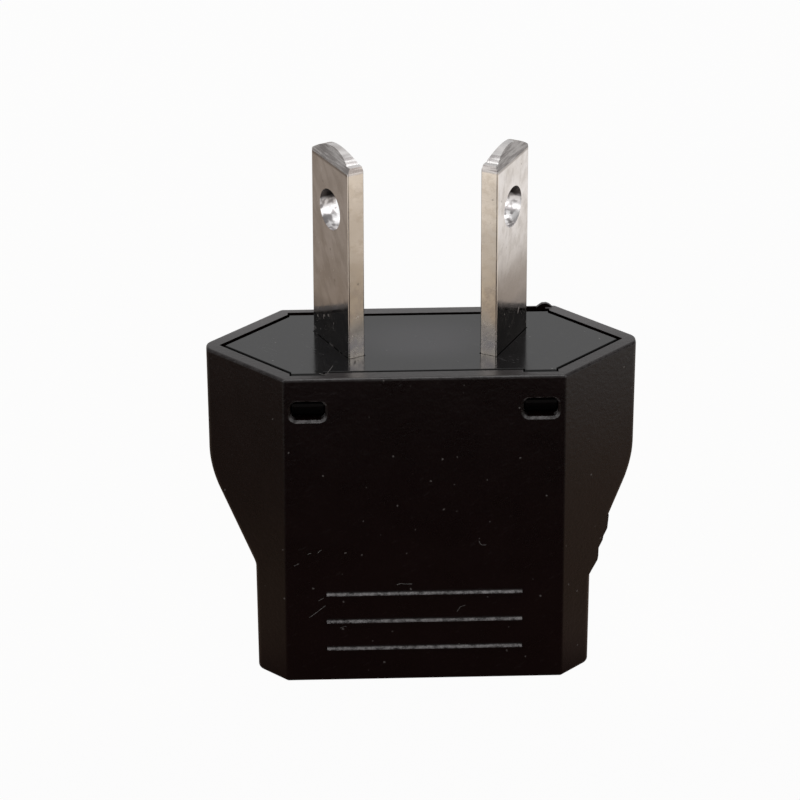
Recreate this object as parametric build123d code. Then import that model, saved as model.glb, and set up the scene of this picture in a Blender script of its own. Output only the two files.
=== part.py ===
"""Travel adapter: a two-piece snap shell with flat blades on top and a round-pin socket underneath.

Frame: millimetres, +Z up along the blades, +X to the right, -Y to the front.
The origin is the middle of the socket face, on the plane that the adapter stands on.
"""

import os
from math import cos, radians, sin, tan

from build123d import *

# Outside of the shell
body_height = 28.35
body_depth = 13.8
face_width = 23.2
facet_angle = 45.0
tip_land = 1.2
neck_height = 10.0
shoulder_angle = 27.2
shoulder_radius = 8.0
neck_radius = 1.2
side_draft = 0.6
side_round = 0.9
corner_round = 0.35
rim_round = 0.25
foot_round = 0.45

# Moulding flash on the front edge of the right shoulder: height above the neck's top, and reach
flash_outline = (
    (3.2, 0.0),
    (2.05, 0.48),
    (1.48, 0.42),
    (1.14, 0.53),
    (0.6, 0.46),
    (-0.15, 0.75),
    (-0.52, 0.68),
    (-1.06, 0.27),
    (-1.45, 0.0),
)
flash_thickness = 0.35
flash_root = 1.2

# Rim broken thin behind the rear right tab, as far as this from the tab's middle
break_depth = 0.45
break_drop = 1.0
break_end = 1.15

# Burr left standing by the break: place from the tab's middle, and height above the rim
burr_outline = (
    (0.4, 0.0),
    (0.65, 0.2),
    (0.85, 0.34),
    (1.2, 0.36),
    (1.45, 0.26),
    (1.75, 0.0),
)
burr_thickness = 0.3
burr_inset = 0.2
burr_root = 0.3

# Walls of the shell
wall = 1.8
rim_wall = 1.2
floor_thickness = 2.4
cell_wall = 1.0
overrun = 5.0

# Grip ribs on the front and back
rib_count = 3
rib_first = 3.17
rib_spacing = 2.58
rib_length = 16.4
rib_reach = 0.32
rib_lip = 0.12
rib_root = 0.3

# Snap windows and the tabs that click into them
window_width = 2.85
window_height = 1.68
window_drop = 2.11
window_margin = 0.575
window_corner = 0.5
window_chamfer = 0.2
tab_width = 2.6
tab_thickness = 1.3
tab_skin = 0.75
tab_gap = 0.3
tab_slope = 0.2
tab_side_gap = 0.15
hook_depth = 0.75
hook_land = 0.25
hook_gap = 0.2

# Plate that carries the blades
plate_thickness = 2.2
plate_gap = 0.3
plate_shift = 0.08
plate_round = 0.12
boss_wall = 0.8
boss_height = 1.0

# Flat blades, set in a V
blade_pitch = 13.7
blade_angle = 27.0
blade_width = 6.25
blade_thickness = 1.5
blade_length = 17.75
blade_tip_rise = 1.05
blade_ledge_width = 0.5
blade_ledge_drop = 0.7
blade_tip_bevel = 0.45
blade_bevel_drop = 0.23
blade_round = 0.12
blade_hole = 3.5
blade_hole_height = 12.3
slot_gap = 0.05
tail_step = 0.5
tail_length = 3.7

# Sprung clips behind the socket holes
pin_pitch = 19.0
pin_hole = 5.0
pin_mouth = 0.4
clip_width = 4.2
clip_play = 0.55
clip_metal = 0.5
clip_bend = 0.4
clip_top_gap = 4.8
clip_grip_gap = 3.6
clip_mouth_gap = 5.0
clip_grip_height = 4.6
clip_bend_height = 12.5
lug_width = 4.4
lug_gap = 0.2
cell_gap = 0.6

# Rivets that join the blades to the clips
rivet_radius = 1.0
rivet_head_radius = 1.5
rivet_head = 0.6
rivet_chamfer = 0.25
rivet_fit = 0.02

# Places that follow from the sizes above
half_depth = body_depth / 2
half_face = face_width / 2
facet_run = 1 / tan(radians(facet_angle))
plug_half = half_face + (half_depth - tip_land / 2) * facet_run
pin_x = pin_pitch / 2
clip_half = clip_width / 2
socket_half = pin_x + clip_half + clip_play + wall
lean = tan(radians(side_draft))
slope = tan(radians(shoulder_angle))
neck_half = socket_half + neck_height * lean
shoulder_rise = (plug_half - (body_height - neck_height) * lean - neck_half) / (slope - lean)
shoulder_z = neck_height + shoulder_rise
window_x = half_face - window_margin - window_width / 2
window_top = body_height - window_drop
window_middle = window_top - window_height / 2
ledge = body_height - plate_thickness
blade_shoulder = ledge - boss_height
tail_end = blade_shoulder - tail_length
rivet_height = (blade_shoulder + tail_end) / 2

# Solids that stand up from the height they are placed at, and a turn from Z to X
upward = (Align.CENTER, Align.CENTER, Align.MIN)
through = Rot(0, 90, 0)


def plan(inset):
    """Six-sided outline seen from above, moved in from the body's own by inset."""
    flat = half_depth - inset
    corner = half_face - inset * tan(radians(facet_angle / 2))
    point = corner + flat * facet_run
    right = [(corner, -flat), (point, 0), (corner, flat)]
    left = [(-x, -y) for x, y in right]
    return make_face(Polyline(*right, *left, close=True))


def front_view(inset):
    """Outline seen from the front, its sides moved in by inset and run past both ends."""
    right = [
        (socket_half - overrun * lean, -overrun),
        (neck_half, neck_height),
        (neck_half + shoulder_rise * slope, shoulder_z),
        (plug_half + overrun * lean, body_height + overrun),
    ]
    left = [(-x, z) for x, z in reversed(right)]
    outline = make_face(Polyline(*right, *left, close=True))
    for height, radius in ((neck_height, neck_radius), (shoulder_z, shoulder_radius)):
        bends = outline.vertices().filter_by_position(Axis.Y, height - 0.01, height + 0.01)
        outline = fillet(bends, radius)
    if inset:
        outline = offset(outline, -inset)
    return extrude(Plane.XZ * outline, body_depth, both=True)


def rounded_body():
    """The solid outside: plan and front view crossed, then every outer edge softened."""
    body = extrude(plan(0), body_height) & front_view(0)
    upright = [edge for edge in body.edges() if edge.bounding_box().size.Z > 0.01]
    body = fillet([edge for edge in upright if abs(edge.center().X) > half_face + 0.1], side_round)
    body = fillet([edge for edge in body.edges() if is_corner(edge)], corner_round)
    body = fillet(body.faces().sort_by(Axis.Z)[-1].edges(), rim_round)
    return fillet(body.faces().sort_by(Axis.Z)[0].edges(), foot_round)


def is_corner(edge):
    """True for the upright edges between the flats and the facets."""
    middle = edge.center()
    tall = edge.bounding_box().size.Z > body_height / 2
    return tall and abs(abs(middle.X) - half_face) < 0.01 and abs(abs(middle.Y) - half_depth) < 0.01


def shoulder_flash():
    """Ragged web in the plane of the front right facet, past the shoulder's own edge."""
    edge = []
    for up, reach in flash_outline:
        side = neck_half + up * (slope if up > 0 else lean)
        edge.append((side + reach, neck_height + up))
    root = [(x - flash_root, z) for x, z in (edge[-1], edge[0])]
    web = extrude(Plane.XZ * make_face(Polyline(*edge, *root, close=True)), half_depth)
    return web & extrude(plan(0) - plan(flash_thickness), body_height)


def rim_break():
    """What is missing from the rim's inner side, from the rear right tab's recess to the break's end."""
    start = -tab_width / 2 - tab_side_gap
    gap = Box(break_end - start, break_depth, 2 * break_drop, align=(Align.MIN, Align.MIN, Align.CENTER))
    return Pos(window_x + start, half_depth - tab_skin, body_height) * gap


def rim_burr():
    """Ragged sliver that stands on the rim at the break's end."""
    crest = [(window_x + along, body_height + up) for along, up in burr_outline]
    root = [(x, z - burr_root) for x, z in (crest[-1], crest[0])]
    sliver = extrude(Plane.XZ * make_face(Polyline(*crest, *root, close=True)), burr_thickness)
    return Pos(0, half_depth - burr_inset, 0) * sliver


def rib():
    """One grip rib on the back, lying along X: hollow on its upper side, with a lip over a short step."""
    hollow = rib_reach * (1 - sin(radians(45)))
    upper = ThreePointArc((0, rib_reach), (hollow, hollow), (rib_reach, 0))
    lower = Polyline(
        (rib_reach, 0),
        (rib_reach, -rib_lip),
        (-rib_root, -2 * rib_lip),
        (-rib_root, rib_reach),
        (0, rib_reach),
    )
    return extrude(Plane.YZ * make_face([upper, lower]), rib_length / 2, both=True)


def shell():
    """Cup with socket holes in its floor, a ledge for the plate, snap windows and grip ribs."""
    cup = rounded_body() - rim_break() + shoulder_flash() + rim_burr()
    for row in range(rib_count):
        grip = Pos(0, half_depth, rib_first + row * rib_spacing) * rib()
        cup += grip
        cup += mirror(grip, about=Plane.XZ)
    cavity = extrude(plan(wall), ledge - floor_thickness)
    cup -= Pos(0, 0, floor_thickness) * cavity & front_view(wall)
    cup -= Pos(0, 0, ledge) * extrude(plan(rim_wall), plate_thickness + overrun)
    cell_top = tail_end - clip_metal - cell_gap
    cell_depth = 2 * (half_depth - wall / 2)
    recess_depth = 2 * (half_depth - tab_skin)
    recess_foot = window_top - window_height
    for side in (-1, 1):
        cell_x = side * (pin_x - clip_half - clip_play - cell_wall / 2)
        cell = Box(cell_wall, cell_depth, cell_top - floor_thickness / 2, align=upward)
        cup += Pos(cell_x, 0, floor_thickness / 2) * cell
        recess = Box(tab_width + 2 * tab_side_gap, recess_depth, body_height, align=upward)
        cup -= Pos(side * window_x, 0, recess_foot) * recess
        window = RectangleRounded(window_width, window_height, window_corner)
        window = Pos(side * window_x, window_middle) * window
        cup -= extrude(Plane.XZ * window, body_depth, both=True)
        cup -= Pos(side * pin_x, 0, 0) * Cylinder(pin_hole / 2, 3 * floor_thickness)
        mouth = Cone(pin_hole / 2 + pin_mouth, pin_hole / 2, pin_mouth, align=upward)
        cup -= Pos(side * pin_x, 0, 0) * mouth
    lips = [edge for edge in cup.edges() if is_window_lip(edge)]
    return chamfer(lips, window_chamfer)


def is_window_lip(edge):
    """True for the edges where a snap window meets the outside of the shell."""
    box = edge.bounding_box()
    on_face = abs(abs(edge.center().Y) - half_depth) < 0.001 and box.size.Y < 0.001
    inside_x = abs(abs(edge.center().X) - window_x) < window_width / 2 + 0.001
    inside_z = abs(edge.center().Z - window_middle) < window_height / 2 + 0.001
    return on_face and inside_x and inside_z


def snap_tab():
    """Tab on the rear right edge of the plate, with the hook that clicks into its window."""
    outer = half_depth - tab_skin - tab_gap
    hook_top = window_top - hook_gap
    foot = window_top - window_height + hook_gap
    profile = make_face(
        Polyline(
            (outer - tab_thickness, foot),
            (outer, foot),
            (outer + hook_depth, hook_top - hook_land),
            (outer + hook_depth, hook_top),
            (outer, hook_top),
            (outer, body_height - tab_slope),
            (outer - tab_slope, body_height),
            (outer - tab_thickness, body_height),
            close=True,
        )
    )
    return Pos(window_x, 0, 0) * extrude(Plane.YZ * profile, tab_width / 2, both=True)


def at_blade(shape):
    """Turn a shape from the right blade's own axes, X through it and Y across it, into the frame."""
    return Pos(blade_pitch / 2, 0, 0) * Rot(0, 0, -blade_angle) * shape


def blade_plate():
    """Flush plate with a slot for each blade, a boss under each slot and four snap tabs."""
    plate = Pos(0, 0, ledge) * extrude(plan(rim_wall + plate_gap), plate_thickness)
    plate = fillet(plate.faces().sort_by(Axis.Z)[-1].edges(), plate_round)
    boss_rise = boss_height + plate_thickness / 2
    boss = Box(blade_thickness + 2 * boss_wall, blade_width + 2 * boss_wall, boss_rise, align=upward)
    boss = at_blade(Pos(0, 0, blade_shoulder) * boss)
    boss &= Pos(0, 0, blade_shoulder) * extrude(plan(wall + plate_gap), boss_rise)
    slot = Box(blade_thickness + 2 * slot_gap, blade_width + 2 * slot_gap, 3 * plate_thickness)
    slot = at_blade(Pos(0, 0, ledge) * slot)
    tab = snap_tab()
    tab += mirror(tab, about=Plane.XZ)
    for shape in (boss, tab):
        plate += shape
        plate += mirror(shape, about=Plane.YZ)
    plate = Pos(0, -plate_shift, 0) * plate
    plate -= slot
    return plate - mirror(slot, about=Plane.YZ)


def blade():
    """Right blade: flat pin with a hole, a wider tail and a bevelled arch of a tip, with a ledge in front."""
    top = body_height + blade_length
    corner = top - blade_tip_rise
    half = blade_width / 2
    ledge_edge = blade_ledge_width - half
    ledge_height = top - blade_ledge_drop
    section = RectangleRounded(blade_thickness, blade_width, blade_round)
    pin = Pos(0, 0, blade_shoulder) * extrude(section, top - blade_shoulder)
    foot = Polyline(
        (half, corner),
        (half, tail_end),
        (-half, tail_end),
        (-half, ledge_height),
        (ledge_edge, ledge_height),
    )
    arch = ThreePointArc((ledge_edge, ledge_height), (0, top), (half, corner))
    pin &= extrude(Plane.YZ * make_face([foot, arch]), blade_thickness, both=True)
    thick = blade_thickness / 2
    right = [(thick, tail_end), (thick, corner - blade_bevel_drop), (thick - blade_tip_bevel, top)]
    left = [(-x, z) for x, z in reversed(right)]
    pin &= extrude(Plane.XZ * make_face(Polyline(*right, *left, close=True)), blade_width, both=True)
    tail = Box(blade_thickness, blade_width + 2 * tail_step, tail_length, align=upward)
    pin += Pos(0, 0, tail_end) * tail
    eye = through * Cylinder(blade_hole / 2, 2 * blade_thickness)
    pin -= Pos(0, 0, body_height + blade_hole_height) * eye
    return at_blade(pin) - rivet_hole()


def rivet_hole():
    """Hole through the right blade's tail and the lug on it."""
    hole = through * Cylinder(rivet_radius + rivet_fit, 4 * blade_thickness)
    return at_blade(Pos(0, 0, rivet_height) * hole)


def clip_leaf():
    """Rear leaf of a clip: bowed in to grip the pin, and flared where the pin enters."""
    stations = [
        (clip_mouth_gap / 2, floor_thickness),
        (clip_grip_gap / 2, floor_thickness + clip_grip_height),
        (clip_top_gap / 2, floor_thickness + clip_bend_height),
        (clip_top_gap / 2, tail_end),
    ]
    back = [(y + clip_metal, z) for y, z in reversed(stations)]
    leaf = extrude(Plane.YZ * make_face(Polyline(*stations, *back, close=True)), clip_half, both=True)
    return Pos(pin_x, 0, 0) * leaf


def contact():
    """Right clip: two sprung leaves, the bridge that joins them and the lug on the blade's tail."""
    outer = blade_thickness / 2
    edge = clip_top_gap / 2 + clip_metal
    turn = radians(blade_angle)
    root = [blade_pitch / 2 + outer * cos(turn), -outer * sin(turn)]
    reach = [lug_width / 2 * sin(turn), lug_width / 2 * cos(turn)]
    neck = make_face(
        Polyline(
            (root[0] - reach[0], root[1] - reach[1]),
            (pin_x + clip_half, -edge),
            (pin_x + clip_half, edge),
            (root[0] + reach[0], root[1] + reach[1]),
            close=True,
        )
    )
    bridge = neck + Pos(pin_x, 0) * Rectangle(clip_width, 2 * edge)
    clip = Pos(0, 0, tail_end - clip_metal) * extrude(bridge, clip_metal)
    leaf = clip_leaf()
    clip += leaf
    clip += mirror(leaf, about=Plane.XZ)
    bends = [line for line in clip.edges().filter_by(Axis.X) if line.center().Z > tail_end - 0.01]
    clip = fillet([line for line in bends if abs(abs(line.center().Y) - edge) < 0.01], clip_bend)
    lug_height = blade_shoulder - lug_gap - tail_end + clip_metal
    lug = Box(clip_metal, lug_width, lug_height, align=(Align.MIN, Align.CENTER, Align.MIN))
    clip += at_blade(Pos(outer, 0, tail_end - clip_metal) * lug)
    return clip - rivet_hole()


def rivet():
    """Right rivet: a shank through blade and lug, with a flat head on either side."""
    inner = -blade_thickness / 2
    outer = blade_thickness / 2 + clip_metal
    shank = Cylinder(rivet_radius, outer - inner + rivet_head, align=upward)
    head = Cylinder(rivet_head_radius, rivet_head, align=upward)
    pin = Pos(0, 0, inner - rivet_head / 2) * shank
    pin += Pos(0, 0, outer) * head
    pin += Pos(0, 0, inner - rivet_head) * head
    levels = pin.edges().group_by(Axis.Z)
    pin = chamfer(levels[0] + levels[-1], rivet_chamfer)
    return at_blade(Pos(0, 0, rivet_height) * through * pin)


os.makedirs("parts", exist_ok=True)
export_step(shell(), "parts/shell.step")
export_step(blade_plate(), "parts/blade_plate.step")
for name, build in (("blade", blade), ("contact", contact), ("rivet", rivet)):
    right_hand = build()
    export_step(right_hand, f"parts/{name}_right.step")
    export_step(mirror(right_hand, about=Plane.YZ), f"parts/{name}_left.step")
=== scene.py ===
# %% [markdown]
# # A travel adapter in black plastic and bright metal
# The adapter is small enough to close a hand round: a black snap-together case, two flat metal
# blades on top and a round-pin socket underneath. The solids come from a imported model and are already
# at their true size and place. This lesson gives every solid the finish of the real thing, adds the
# lint that no drawing shows, and lights the whole as a product photograph.

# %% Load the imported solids
import math

import bmesh
import bpy
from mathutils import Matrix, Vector


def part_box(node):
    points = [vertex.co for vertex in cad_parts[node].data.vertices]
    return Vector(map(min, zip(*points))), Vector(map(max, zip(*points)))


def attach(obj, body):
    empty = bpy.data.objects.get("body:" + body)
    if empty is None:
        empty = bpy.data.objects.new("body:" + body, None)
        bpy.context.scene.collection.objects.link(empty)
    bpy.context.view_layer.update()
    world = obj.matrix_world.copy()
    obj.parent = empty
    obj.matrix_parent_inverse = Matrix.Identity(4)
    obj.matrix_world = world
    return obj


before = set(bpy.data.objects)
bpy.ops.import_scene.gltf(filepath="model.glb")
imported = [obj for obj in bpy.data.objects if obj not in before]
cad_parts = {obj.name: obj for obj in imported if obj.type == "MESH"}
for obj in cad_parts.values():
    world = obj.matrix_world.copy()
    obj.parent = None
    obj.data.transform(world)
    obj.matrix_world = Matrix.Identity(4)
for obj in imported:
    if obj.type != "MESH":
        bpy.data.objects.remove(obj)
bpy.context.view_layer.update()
MM = 0.001


print("solids:", ", ".join(sorted(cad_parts)))

# %% [markdown]
# ## Shader arithmetic
# A procedural finish is mostly arithmetic: a mask times a colour, one minus a mask, a noise plus a
# noise. Joining Math nodes by hand hides that, so a small class wraps one output of a node, and
# Python's own operators add the Math nodes. Every other kind of node comes from the one method `node`.


# %% A wire that does arithmetic
class Wire:
    """One output of a shader node. Arithmetic on wires adds Math nodes to the same material."""

    def __init__(self, tree, socket=None):
        self.tree = tree
        self.socket = socket

    def node(self, kind, settings=None, inputs=None):
        """Any node: its settings are set first, then a number, a colour or a wire for each input."""
        made = self.tree.nodes.new(kind)
        for name, value in (settings or {}).items():
            setattr(made, name, value)
        for name, value in (inputs or {}).items():
            if isinstance(value, Wire):
                self.tree.links.new(value.socket, made.inputs[name])
            else:
                made.inputs[name].default_value = value
        return Wire(self.tree, made.outputs[0]) if made.outputs else None

    def output(self, name):
        """Another output of the same node."""
        return Wire(self.tree, self.socket.node.outputs[name])

    def math(self, operation, *values):
        return self.node("ShaderNodeMath", {"operation": operation}, dict(enumerate(values)))

    def __add__(self, other):
        return self.math("ADD", self, other)

    def __mul__(self, other):
        return self.math("MULTIPLY", self, other)

    def __sub__(self, other):
        return self.math("SUBTRACT", self, other)

    def __rsub__(self, other):
        return self.math("SUBTRACT", other, self)

    def __abs__(self):
        return self.math("ABSOLUTE", self)

    __radd__ = __add__
    __rmul__ = __mul__

    def between(self, low, high):
        """A smooth step: 0 where the wire is at low or under, 1 where it is at high or over."""
        limits = {"Value": self, "From Min": low, "From Max": high}
        return self.node("ShaderNodeMapRange", {"interpolation_type": "SMOOTHSTEP"}, limits)

    def tint(self, off, on):
        """A colour: off where the wire is 0, on where it is 1."""
        made = self.node("ShaderNodeMix", {"data_type": "RGBA"}, {"Factor": self, 6: off, 7: on})
        return made.output(2)


print("the shader class is ready")

# %% [markdown]
# ## Camera
# The photograph looks down on the adapter from about 25 degrees, very nearly from the front, with a
# long lens. The angles, distance and focal length were worked out from the corners of the case, so the
# render can be laid over the photograph. The small shift puts the adapter where it is in the frame.

# %% Place the camera
look_at = Vector((0, 0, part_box("blade_plate")[1].z))
elevation = math.radians(25.35)
turn = math.radians(2.26)
distance = 382 * MM
pixels_per_mm = 12.01
image_width = 800
frame_shift = (-21.3, -58.3)

away = Vector((-math.sin(turn), -math.cos(turn), math.tan(elevation))).normalized()
camera_data = bpy.data.cameras.new("camera")
camera_data.sensor_width = 36
camera_data.lens = pixels_per_mm * distance / MM * camera_data.sensor_width / image_width
camera_data.shift_x = frame_shift[0] / image_width
camera_data.shift_y = frame_shift[1] / image_width
camera_data.clip_start = 10 * MM
camera = bpy.data.objects.new("camera", camera_data)
camera.location = look_at + distance * away
camera.rotation_euler = (-away).to_track_quat("-Z", "Y").to_euler()
bpy.context.scene.collection.objects.link(camera)
bpy.context.scene.camera = camera
print("lens in mm:", round(camera_data.lens, 1))

# %% [markdown]
# ## Places on a surface
# Every pattern in this lesson is drawn from a surface's own coordinates, so it needs no unwrapping and
# keeps its scale. After a helper that starts an empty material come four for the geometry: one turns
# the coordinates into millimetres, one picks an axis, one folds the left half over the right so that
# both sides share a pattern, and one measures a distance.

# %% Helpers for places
def new_material(name):
    """An empty material, and a bare wire to hang its nodes on."""
    made = bpy.data.materials.new(name)
    made.use_nodes = True
    made.node_tree.nodes.clear()
    return made, Wire(made.node_tree)


def in_mm(start):
    """The surface's own coordinates, in millimetres."""
    place = start.node("ShaderNodeTexCoord").output("Object")
    return start.node("ShaderNodeVectorMath", {"operation": "SCALE"}, {0: place, "Scale": 1 / MM})


def axis(vector, name):
    """One coordinate of a place or direction."""
    return vector.node("ShaderNodeSeparateXYZ", {}, {0: vector}).output(name)


def folded(place):
    """The place with the left half laid over the right half."""
    parts = {"X": abs(axis(place, "X")), "Y": axis(place, "Y"), "Z": axis(place, "Z")}
    return place.node("ShaderNodeCombineXYZ", {}, parts)


def distance_from(place, middle, stretch=(1, 1, 1)):
    """How far a place is from a middle, in a space that is stretched along its axes first."""
    away = place.node("ShaderNodeVectorMath", {"operation": "SUBTRACT"}, {0: place, 1: middle})
    drawn = place.node("ShaderNodeVectorMath", {"operation": "MULTIPLY"}, {0: away, 1: stretch})
    return place.node("ShaderNodeVectorMath", {"operation": "LENGTH"}, {0: drawn}).output("Value")


print("places are in mm, heights from the floor, the plate's top at", round(look_at.z / MM, 2))

# %% [markdown]
# ## The ground, as the shine tells it
# The ground of the photograph is plain white, but the black plastic and the nickel mirror something
# darker. Each face shows one stretch of it: the front face what lies in front, the slanted faces what
# lies beside, the narrow sides of the blades the two front corners. A lamp for each face would light its
# neighbours too. So one floor card is toned stretch by stretch, until each face takes on its
# shade: nearly black in front, browner beside the case, with a dark patch on the left and a pale
# surround further off.

# %% Colour the ground
def ground_colour(place):
    """The colour of the ground at a place, from the adapter outwards."""
    across = axis(place, "X")
    along = axis(place, "Y")
    on_the_right = across.between(-10, 10)
    from_adapter = distance_from(place, (0, 0, 0), (1, 0.62, 1))

    # painted shadow: close to the case the ground is dark, the adapter's shadow as its faces mirror it
    in_front = along.between(-65, -12).tint((0.016, 0.004, 0.006, 1), (0.1, 0.042, 0.036, 1))
    to_the_side = (abs(across) + along * 0.8).between(5, 36)
    near = to_the_side.tint(in_front, (0.2, 0.15, 0.11, 1))
    beside = on_the_right.tint((0.25, 0.165, 0.11, 1), (0.31, 0.205, 0.145, 1))
    at_the_foot = on_the_right.tint((0.45, 0.3, 0.2, 1), (0.66, 0.46, 0.36, 1))
    beside = abs(across).between(15, 27).tint(at_the_foot, beside)
    close_beside = 1 - distance_from(folded(place), (42, 0, 0), (1, 1.6, 1)).between(14, 36)
    near = close_beside.tint(near, beside)

    front_right = on_the_right * (1 - along.between(-30, 0))
    surround = front_right.tint((0.95, 0.92, 0.9, 1), (0.78, 0.73, 0.69, 1))
    back_left = (along * 1.5 - across).between(20, 80) * (1 - from_adapter.between(120, 240))
    surround = back_left.tint(surround, (0.29, 0.245, 0.21, 1))
    ground = from_adapter.between(53, 91).tint(near, surround)

    # painted shadow: a dark patch on the left of the case
    shadow_patch = 1 - distance_from(place, (-62, -2, 0), (1, 1.25, 1)).between(12, 34)
    ground = shadow_patch.tint(ground, (0.1, 0.056, 0.04, 1))
    front_corner = 1 - distance_from(folded(place), (56, -44, 0)).between(5, 13)
    corner = on_the_right.tint((0.62, 0.55, 0.46, 1), (0.42, 0.37, 0.31, 1))
    return front_corner.tint(ground, corner)


floor_material, start = new_material("pale_floor")
ground = ground_colour(in_mm(start))
print("ground:", len(floor_material.node_tree.nodes), "nodes")

# %% [markdown]
# ## Floor
# A photographer would stand the adapter on a white sweep. Here it is a flat card. To the camera nearly
# all of it glows white, and the small share of its own shading that is left is the soft shadow under
# the adapter. Whatever mirrors the card sees the painted ground instead. It lies a hair below the case,
# so that the two faces don't share one plane.

# %% Lay the floor
white_to_camera = 0.97
white_to_mirrors = 0.03
floor_reach = 2.0
floor_drop = 0.02 * MM

card = start.node("ShaderNodeBsdfDiffuse", {}, {"Color": ground})
white = start.node("ShaderNodeEmission", {}, {"Color": (1, 1, 1, 1), "Strength": 1.0})
path = start.node("ShaderNodeLightPath")
mirrored = path.output("Is Glossy Ray") + path.output("Is Transmission Ray")
white_share = path.output("Is Camera Ray") * white_to_camera + mirrored * white_to_mirrors
mixed = start.node("ShaderNodeMixShader", {}, {0: white_share, 1: card, 2: white})
start.node("ShaderNodeOutputMaterial", {}, {"Surface": mixed})

shape = bmesh.new()
bmesh.ops.create_grid(shape, x_segments=1, y_segments=1, size=floor_reach)
floor_mesh = bpy.data.meshes.new("floor")
shape.to_mesh(floor_mesh)
shape.free()
floor_mesh.materials.append(floor_material)
floor = bpy.data.objects.new("floor", floor_mesh)
floor.location.z = -floor_drop
bpy.context.scene.collection.objects.link(floor)
print("floor:", floor.name, "reaching", floor_reach, "m each way")

# %% [markdown]
# ## Surroundings
# The camera sees white all round. Polished surfaces need more than that, because they show little but
# what they mirror: a white wall behind, a ceiling that grows brighter overhead, and dim corners to the
# sides. The light paths tell the two apart, so one world serves both.

# %% Surround it with a white room
wall_light = 0.66
ceiling_light = 0.8
corner_light = 0.08
fill_light = 0.35

world = bpy.data.worlds.new("white_room")
bpy.context.scene.world = world
world.use_nodes = True
world.node_tree.nodes.clear()
start = Wire(world.node_tree)
direction = start.node("ShaderNodeTexCoord").output("Generated")
wall_behind = axis(direction, "Y").between(0.55, 0.78)
ceiling = axis(direction, "Z").between(0.4, 1.0)
path = start.node("ShaderNodeLightPath")
mirrored = path.output("Is Glossy Ray") + path.output("Is Transmission Ray")
brightness = path.output("Is Camera Ray") + path.output("Is Diffuse Ray") * fill_light
brightness = brightness + mirrored * (corner_light + wall_behind * wall_light + ceiling * ceiling_light)
room = start.node("ShaderNodeBackground", {}, {"Color": (1, 1, 1, 1), "Strength": brightness})
start.node("ShaderNodeOutputWorld", {}, {"Surface": room})
bpy.context.scene.view_settings.view_transform = "Standard"
print("room:", world.name, len(world.node_tree.nodes), "nodes")

# %% [markdown]
# ## Lamps
# The light of the photograph is soft and comes from above and from both sides of the camera. Three
# soft boxes give that: a large one overhead, and a smaller one in front on each side, for the blades
# and the slanted faces. A lamp's power grows with its face, so each is given by how bright its face is,
# and the power follows.

# %% Hang the soft boxes
soft_boxes = (
    ("overhead_box", (0.0, -0.03, 0.5), 0.3, 4.0),
    ("right_box", (0.3, -0.2, 0.19), 0.24, 2.4),
    ("left_box", (-0.3, -0.2, 0.19), 0.24, 2.4),
)
for name, place, size, radiance in soft_boxes:
    lamp = bpy.data.lights.new(name, "AREA")
    lamp.size = size
    lamp.energy = radiance * math.pi * size * size
    box = bpy.data.objects.new(name, lamp)
    box.location = place
    box.rotation_euler = (look_at - Vector(place)).to_track_quat("-Z", "Y").to_euler()
    bpy.context.scene.collection.objects.link(box)
    print("lamp:", name, round(lamp.energy, 2), "W")

# %% [markdown]
# ## Marks that every surface shares
# Up close nothing on the adapter is one even colour. Dust sits on it, fingers and sockets have
# scratched it, and each surface has a fine grain. A picture could be painted for each, but a few
# patterns of noise do the same at any distance: plain noise for grain and stains, cells for dust, and
# the crests of a drawn-out noise for scratches.

# %% Grain, specks and scratches
def stretched(place, scale, turn=(0, 0, 0)):
    """Coordinates turned, then stretched: a small scale makes the pattern long along that axis."""
    turned = {"Vector": place, "Rotation": turn}
    turned = place.node("ShaderNodeMapping", {"vector_type": "POINT"}, turned)
    return place.node("ShaderNodeVectorMath", {"operation": "MULTIPLY"}, {0: turned, 1: scale})


def noise(place, per_mm, detail=3.0):
    """Cloudy noise around 0.5, with about so many lumps to a millimetre."""
    values = {"Vector": place, "Scale": per_mm, "Detail": detail, "Roughness": 0.6}
    return place.node("ShaderNodeTexNoise", {}, values)


def specks(place, per_mm, radius):
    """Small ragged spots, each where a cell's middle comes close to the surface."""
    wobble = place.node("ShaderNodeTexNoise", {}, {"Vector": place, "Scale": 5.0}).output("Color")
    moved = {0: wobble, 1: (0.25, 0.25, 0.25), 2: place}
    ragged = place.node("ShaderNodeVectorMath", {"operation": "MULTIPLY_ADD"}, moved)
    cells = place.node("ShaderNodeTexVoronoi", {}, {"Vector": ragged, "Scale": per_mm})
    return 1 - cells.between(0.5 * radius * per_mm, radius * per_mm)


def scratches(place, scale, turn, share):
    """Thin lines: the crests of a noise that is drawn out along one axis."""
    return noise(stretched(place, scale, turn), 1.0, 2.0).between(1 - share, 1.03 - share)


print("patterns: grain, specks and scratches")

# %% [markdown]
# ## Closing a finish
# Wear follows the shape, so a finish also has to know which way a surface faces. The other helpers
# here tip the normal by a fine relief, close a material with its shader, and put it on solids.

# %% Helpers for finishes
def facing(start, name):
    """How far the surface faces along an axis, either way: 0 is edge on, 1 is straight."""
    return abs(axis(start.node("ShaderNodeNewGeometry").output("Normal"), name))


def bumped(start, height, depth):
    """The surface's normal, tipped by a height from 0 to 1 that stands for a depth in millimetres."""
    return start.node("ShaderNodeBump", {}, {"Height": height, "Distance": depth * MM})


def finished(material, start, values):
    """Close a material with its shader, and hand it back."""
    shader = start.node("ShaderNodeBsdfPrincipled", {}, values)
    start.node("ShaderNodeOutputMaterial", {}, {"Surface": shader})
    print("finish:", material.name, len(material.node_tree.nodes), "nodes")
    return material


def dress(material, *nodes):
    """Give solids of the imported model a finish."""
    for node in nodes:
        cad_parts[node].material_slots[0].material = material
    print("dressed:", ", ".join(nodes))


case_top = look_at.z / MM
half_depth = 6.9
print("front face at", -half_depth, "mm, rim at", round(case_top, 2), "mm")
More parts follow.
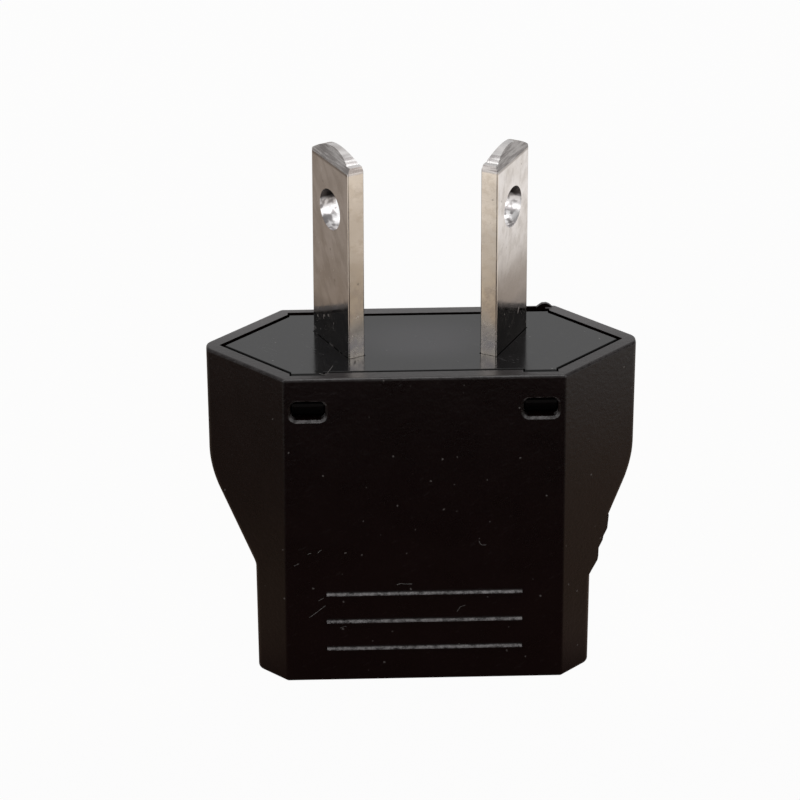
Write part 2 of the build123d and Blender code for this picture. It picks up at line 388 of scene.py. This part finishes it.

# %% [markdown]
# ## Wear and painted highlights on the case
# Fingers and pockets catch what stands out: the ribs, the edges of the snap windows and the rim. There
# the gloss is gone and the plastic is painted grey, partly as wear and partly as a painted highlight
# for the light these tilted faces catch from above. Those places are known from the shape, so each is
# a mask of how the surface faces, how high it lies and how far out it stands. The ribs are nibbled as
# well as worn, so two noises break up their grey. The rim is painted greyer towards the rear.

# %% Where the case is worn and painted with highlights
def case_wear_and_highlight(start, place):
    """Grey for wear and painted highlight, and a relief for the nibbled ribs."""
    height = axis(place, "Z")
    facing_up = facing(start, "Z")
    patchy = noise(place, 1.6, 3.0).between(0.38, 0.6)
    nibbled = noise(place, 4.5, 2.0).between(0.36, 0.64)
    lips = facing_up.between(0.08, 0.4)
    on_ribs = abs(axis(place, "Y")).between(half_depth + 0.01, half_depth + 0.1) * lips
    on_edges = lips * (1 - facing_up.between(0.85, 0.98)) * height.between(21, 23)
    on_windows = 1 - height.between(case_top - 1.4, case_top - 1.0)
    on_rim = facing_up.between(0.9, 0.99) * height.between(case_top - 0.2, case_top - 0.1)
    # painted highlight and wear: ribs, tilted lips and rim are greyed where they face the light above
    rib_wear_and_highlight = on_ribs * (0.02 + nibbled * 0.5 + patchy * 0.5)
    edge_wear_and_highlight = on_edges * (0.07 + patchy * (0.08 + on_windows * 0.3))
    rim_wear_and_sheen = on_rim * (0.15 + axis(place, "Y").between(-2, 6) * 0.38)
    return rib_wear_and_highlight + edge_wear_and_highlight + rim_wear_and_sheen, on_ribs * nibbled


print("wear: ribs, edges and rim")

# %% [markdown]
# ## Black moulded plastic
# The case is moulded in one shot and left as it falls from the tool: a satin black with the fine
# spark-eroded grain of the steel. The black is warm and a little cloudy. Scuffs gather near the rim,
# where the adapter is pushed against walls, and dust lies over everything.

# %% Finish for the case
def case_finish():
    made, start = new_material("case_plastic")
    place = in_mm(start)
    worn_and_lit, nibbles = case_wear_and_highlight(start, place)
    grain = noise(place, 2.4, 4.0)
    clouds = noise(place, 0.35, 5.0).between(0.3, 0.75)
    near_rim = axis(place, "Z").between(case_top - 2.5, case_top - 0.3)
    scuffs = scratches(place, (1.2, 5.0, 5.0), (0.3, 0.5, 0.2), 0.34) * (0.35 + near_rim * 0.65)
    dust = specks(place, 0.62, 0.11)
    black = clouds.tint((0.0024, 0.0005, 0.0004, 1), (0.0034, 0.0009, 0.0008, 1))
    # painted highlight and wear: the black turns grey on the ribs, lips and rim
    grey = worn_and_lit.tint(black, (0.15, 0.142, 0.144, 1))
    marked = (scuffs * 0.3).tint(grey, (0.04, 0.035, 0.036, 1))
    values = {
        "Base Color": dust.tint(marked, (0.08, 0.073, 0.07, 1)),
        "Roughness": 0.27 + clouds * 0.03 + worn_and_lit * 0.2 + dust * 0.3,
        "Specular IOR Level": 0.31,
        "Normal": bumped(start, grain + dust * 0.2 + nibbles * 0.5, 0.028),
    }
    return finished(made, start, values)


dress(case_finish(), "shell")

# %% [markdown]
# ## The plate
# The plate is the same black plastic from a polished mould, so it mirrors the blades. What keeps it
# from looking like glass is a film of grease in the middle, a few scratches from wall sockets and some
# dust. Its snap tabs reach down into the windows, where the real ones are lost in the dark, so below
# the top face the shader gives way to a dull black.

# %% Finish for the plate
def plate_finish():
    made, start = new_material("plate_plastic")
    place = in_mm(start)
    grease = noise(place, 0.3, 4.0).between(0.3, 0.7)
    lines = scratches(place, (0.9, 4.0, 4.0), (0, 0, 0.7), 0.33)
    dust = specks(place, 0.7, 0.08)
    handled = 1 - distance_from(place, (0, 0.5, case_top), (1, 1.6, 1)).between(2, 8)
    film = handled.tint((0.0032, 0.003, 0.0036, 1), (0.021, 0.0195, 0.0225, 1))
    black = (lines * 0.5).tint(film, (0.03, 0.03, 0.031, 1))
    values = {
        "Base Color": dust.tint(black, (0.09, 0.086, 0.085, 1)),
        "Roughness": 0.11 + grease * 0.07 + lines * 0.12,
        "Specular IOR Level": 0.5,
        "Normal": bumped(start, noise(place, 1.6), 0.004),
    }
    polished = start.node("ShaderNodeBsdfPrincipled", {}, values)
    values = {"Base Color": (0.0012, 0.001, 0.001, 1), "Roughness": 0.5, "Specular IOR Level": 0.15}
    dull = start.node("ShaderNodeBsdfPrincipled", {}, values)
    on_top = axis(place, "Z").between(case_top - 0.3, case_top - 0.1)
    on_top = on_top * facing(start, "Z").between(0.9, 0.99)
    mixed = start.node("ShaderNodeMixShader", {}, {0: on_top, 1: dull, 2: polished})
    start.node("ShaderNodeOutputMaterial", {}, {"Surface": mixed})
    print("finish:", made.name, len(made.node_tree.nodes), "nodes")
    return made


dress(plate_finish(), "blade_plate")

# %% [markdown]
# ## Broad faces and sheared sides of the blades
# The blades are stamped from brass strip and plated with nickel. The broad faces are rolled smooth.
# Wall sockets wipe them along their length, and the right one is browner in its lower half. The
# feet, which no contact reaches, are darkened by a painted shade. The narrow sides were sheared, so
# the brass under the nickel warms their colour, and just above the plate a painted shade darkens them.

# %% Colours of the broad faces and the sides
def on_right_blade(place):
    """1 on the right blade, 0 on the left one."""
    return axis(place, "X").between(-1, 1)


def broad_colour(place, height, blotches, wiped):
    """Nickel on the broad faces, with a painted shade on the feet."""
    nickel = blotches.tint((0.88, 0.85, 0.83, 1), (0.76, 0.72, 0.68, 1))
    nickel = (wiped * 0.42).tint(nickel, (0.58, 0.54, 0.5, 1))
    # the right blade turns browner and darker in its lower half
    browner_low = (1 - (height + blotches * 1.5).between(6.0, 9.5)) * on_right_blade(place)
    nickel = (browner_low * 0.7).tint(nickel, (0.42, 0.365, 0.315, 1))
    # painted shade: the lowest few millimetres of the broad faces are darkened
    painted_foot_shade = 1 - height.between(3.2, 4.2)
    return (painted_foot_shade * 0.4).tint(nickel, (0.35, 0.33, 0.33, 1))


def sheared_colour(height, smudges):
    """Nickel on the narrow sides, with the brass shining through and a painted shade above the plate."""
    warm = smudges.tint((0.82, 0.745, 0.65, 1), (0.76, 0.68, 0.58, 1))
    # painted shade: the narrow sides are darkened just above the plate
    painted_low_shade = (1 - height.between(1.0, 3.6)) * height.between(-0.8, 1.2) * (0.6 + smudges * 0.4)
    return painted_low_shade.tint(warm, (0.5, 0.47, 0.475, 1))


print("blade faces: broad and sheared")

# %% [markdown]
# ## Tips and holes of the blades
# The tip is ground to an arch with bevelled sides, which leaves streaks along the bevel; the level top
# is painted a little darker, a painted shade. The hole is punched: its wall is bright where the punch
# burnished it, grey where the metal tore, and dark at the top, where it looks down into the shade. The
# wall is found by its distance from the middle of the hole, which no other face of the blade comes so
# close to.

# %% Colours of the tips and the holes
blade_offset = 6.85
hole_height = 12.3
hole_reach = 1.9


def tip_colour(start, place):
    """Ground metal on the bevels and the arch, brighter on the left blade, with a painted shade on top.
    """
    streaks = noise(stretched(place, (0.5, 0.5, 6.0)), 1.0, 1.0).between(0.36, 0.64)
    left = streaks.tint((1.0, 0.975, 0.965, 1), (0.6, 0.565, 0.555, 1))
    right = streaks.tint((0.8, 0.78, 0.77, 1), (0.47, 0.445, 0.44, 1))
    ground_metal = on_right_blade(place).tint(left, right)
    # painted shade: the level top of the tip, which faces up, is darkened
    shaded_top = facing(start, "Z").between(0.92, 0.98)
    return (shaded_top * 0.55).tint(ground_metal, (0.5, 0.475, 0.465, 1))


def in_hole(place):
    """1 on the wall of a hole, 0 elsewhere."""
    middle = (blade_offset, 0, case_top + hole_height)
    return 1 - distance_from(folded(place), middle).between(hole_reach - 0.01, hole_reach + 0.02)


def hole_colour(place, height):
    """Burnished and torn metal, dark at the top of the hole."""
    torn = noise(place, 1.7, 1.0).between(0.44, 0.64)
    wall = torn.tint((0.98, 0.96, 0.96, 1), (0.36, 0.34, 0.34, 1))
    return height.between(12.35, 12.85).tint(wall, (0.05, 0.042, 0.04, 1))


print("hole walls:", hole_reach, "mm round", hole_height, "mm above the plate")

# %% [markdown]
# ## Nickel on brass
# Now the blade is put together: sides over broad faces, then tip, hole and stains. Scratches scatter
# light, so they are drawn as rough lines: on the dark foot of a blade, which mirrors the plate, they
# show up pale. Rolled strip is never quite flat, and slow waves in the normal bend what it mirrors.

# %% Finish for the blades
def blade_finish():
    made, start = new_material("blade_nickel")
    place = in_mm(start)
    height = axis(place, "Z") - case_top
    blotches = noise(place, 0.5, 4.0).between(0.35, 0.68)
    smudges = noise(place, 1.2, 3.0).between(0.42, 0.66)
    wiped = noise(stretched(place, (1.1, 1.1, 0.4), (0.5, 0.3, 0)), 1.0, 4.0).between(0.45, 0.62)
    narrow = facing(start, "Y").between(0.6, 0.8)
    tip = height.between(16.3, 16.5)
    hole = in_hole(place)

    metal = broad_colour(place, height, blotches, wiped)
    metal = (narrow * (1 - tip)).tint(metal, sheared_colour(height, smudges))
    metal = tip.tint(metal, tip_colour(start, place))
    metal = hole.tint(metal, hole_colour(place, height))
    spots = specks(place, 0.5, 0.13)
    crease = height.between(16.2, 16.36) * (1 - height.between(16.44, 16.52)) * (1 - narrow)

    lengthwise = scratches(place, (5.0, 5.0, 0.35), (0, 0, 0.2), 0.27)
    crosswise = scratches(place, (0.5, 4.0, 4.0), (0.6, 0.7, 0.3), 0.27)
    lines = lengthwise + crosswise * (1 - lengthwise)
    gouges = scratches(place, (1.5, 1.5, 1.1), (0.4, 0.2, 0.6), 0.33) * (1 - height.between(3.4, 4.2))
    scraped = (1 - height.between(0.06, 0.14)) * (1 - on_right_blade(place)) * smudges
    foot = 1 - height.between(1.0, 4.5)
    dull = blotches * 0.05 + wiped * 0.06 + smudges * 0.04 + lines * 0.22 + tip * 0.1
    dull = dull + narrow * (0.04 + foot * 0.1) + scraped * 0.3 + gouges * 0.3 + hole * 0.2
    waves = noise(place, 0.22, 0.0)
    values = {
        "Base Color": (spots * 0.6 + crease * 0.7).tint(metal, (0.3, 0.27, 0.24, 1)),
        "Metallic": 1.0,
        "Roughness": 0.07 + dull,
        "Normal": bumped(start, waves + smudges * 0.015, 0.06),
    }
    return finished(made, start, values)


dress(blade_finish(), "blade_left", "blade_right")

# %% [markdown]
# ## Brass inside
# The clips behind the socket holes are bare rolled strip and the rivets are upset from brass wire.
# Nobody polishes them, so they are duller than the blades: rolling marks run along the strip, and the
# colour turns brown in patches.

# %% Finish for the clips and rivets
def brass_finish(name, bright, brown, marks):
    """Bare brass: bright and brown in patches, with marks drawn out along an axis."""
    made, start = new_material(name)
    place = in_mm(start)
    tarnish = noise(place, 0.6, 5.0).between(0.35, 0.7)
    rolled = noise(stretched(place, marks), 1.0, 2.0)
    values = {
        "Base Color": tarnish.tint(bright, brown),
        "Metallic": 1.0,
        "Roughness": 0.22 + tarnish * 0.16 + rolled * 0.08,
        "Normal": bumped(start, rolled, 0.004),
    }
    return finished(made, start, values)


clip_brass = brass_finish("clip_brass", (0.78, 0.57, 0.26, 1), (0.5, 0.33, 0.14, 1), (8.0, 8.0, 0.5))
rivet_brass = brass_finish("rivet_brass", (0.82, 0.62, 0.31, 1), (0.55, 0.38, 0.17, 1), (4.0, 4.0, 4.0))
dress(clip_brass, "contact_left", "contact_right")
dress(rivet_brass, "rivet_left", "rivet_right")

# %% [markdown]
# ## Lint
# A few fibres from a pocket lie on the front and on the plate. Each is a thin thread, so a curve with a
# round bevel draws it best: a handful of points on the surface give its path, and the curve becomes a
# mesh once it has its thickness. Half of each thread is sunk into what carries it.

# %% Lay the lint
front_lint = (
    ((-9.66, 6.19), (-9.03, 6.66), (-8.64, 7.03), (-8.32, 7.28)),
    ((-8.87, 7.75), (-8.68, 7.92), (-8.45, 8.0)),
    ((2.73, 6.48), (2.94, 6.88), (3.15, 7.01), (3.42, 7.07)),
    ((-9.72, 12.17), (-9.6, 12.28), (-9.47, 12.26)),
    ((-8.89, 12.3), (-8.76, 12.48), (-8.59, 12.57)),
    ((-10.9, 11.11), (-10.7, 11.18), (-10.48, 11.32)),
    ((-2.31, 9.15), (-1.95, 9.3), (-1.73, 9.2), (-1.06, 9.2)),
    ((-7.08, 5.12), (-6.85, 5.3), (-6.57, 5.28)),
    ((4.54, 13.15), (4.63, 12.86), (4.88, 12.72), (5.13, 12.79)),
)
plate_lint = (
    ((-8.04, -6.07), (-7.78, -5.28), (-7.46, -4.34)),
    ((-8.6, -5.75), (-8.35, -6.0), (-8.04, -6.07)),
)
fibre_radius = 0.03


def add_thread(curve, points):
    """One thread of the lint, through its points in millimetres."""
    thread = curve.splines.new("NURBS")
    thread.points.add(len(points) - 1)
    for knot, point in zip(thread.points, points):
        knot.co = (*(Vector(point) * MM), 1)
    thread.order_u = 3
    thread.use_endpoint_u = True


fibres = bpy.data.curves.new("fibres", "CURVE")
fibres.dimensions = "3D"
fibres.bevel_depth = fibre_radius * MM
fibres.bevel_resolution = 1
fibres.use_fill_caps = True
for points in front_lint:
    add_thread(fibres, [(x, -half_depth, z) for x, z in points])
for points in plate_lint:
    add_thread(fibres, [(x, y, case_top) for x, y in points])
pattern = bpy.data.objects.new("fibres", fibres)
lint = bpy.data.objects.new("lint", bpy.data.meshes.new_from_object(pattern))
bpy.data.objects.remove(pattern)
bpy.context.scene.collection.objects.link(lint)
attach(lint, "root")
print("lint:", len(lint.data.polygons), "faces")

# %% [markdown]
# ## Grey fibres
# Lint is cotton and skin, grey and quite without gloss. It is darker than it would be alone, because
# the threads are so thin that the black shows through them.

# %% Finish for the lint
def lint_finish():
    made, start = new_material("lint_grey")
    fluff = noise(in_mm(start), 4.0).between(0.35, 0.65)
    values = {
        "Base Color": fluff.tint((0.11, 0.103, 0.1, 1), (0.055, 0.051, 0.049, 1)),
        "Roughness": 0.7 + fluff * 0.2,
        "Specular IOR Level": 0.2,
    }
    return finished(made, start, values)


lint.data.materials.clear()
lint.data.materials.append(lint_finish())
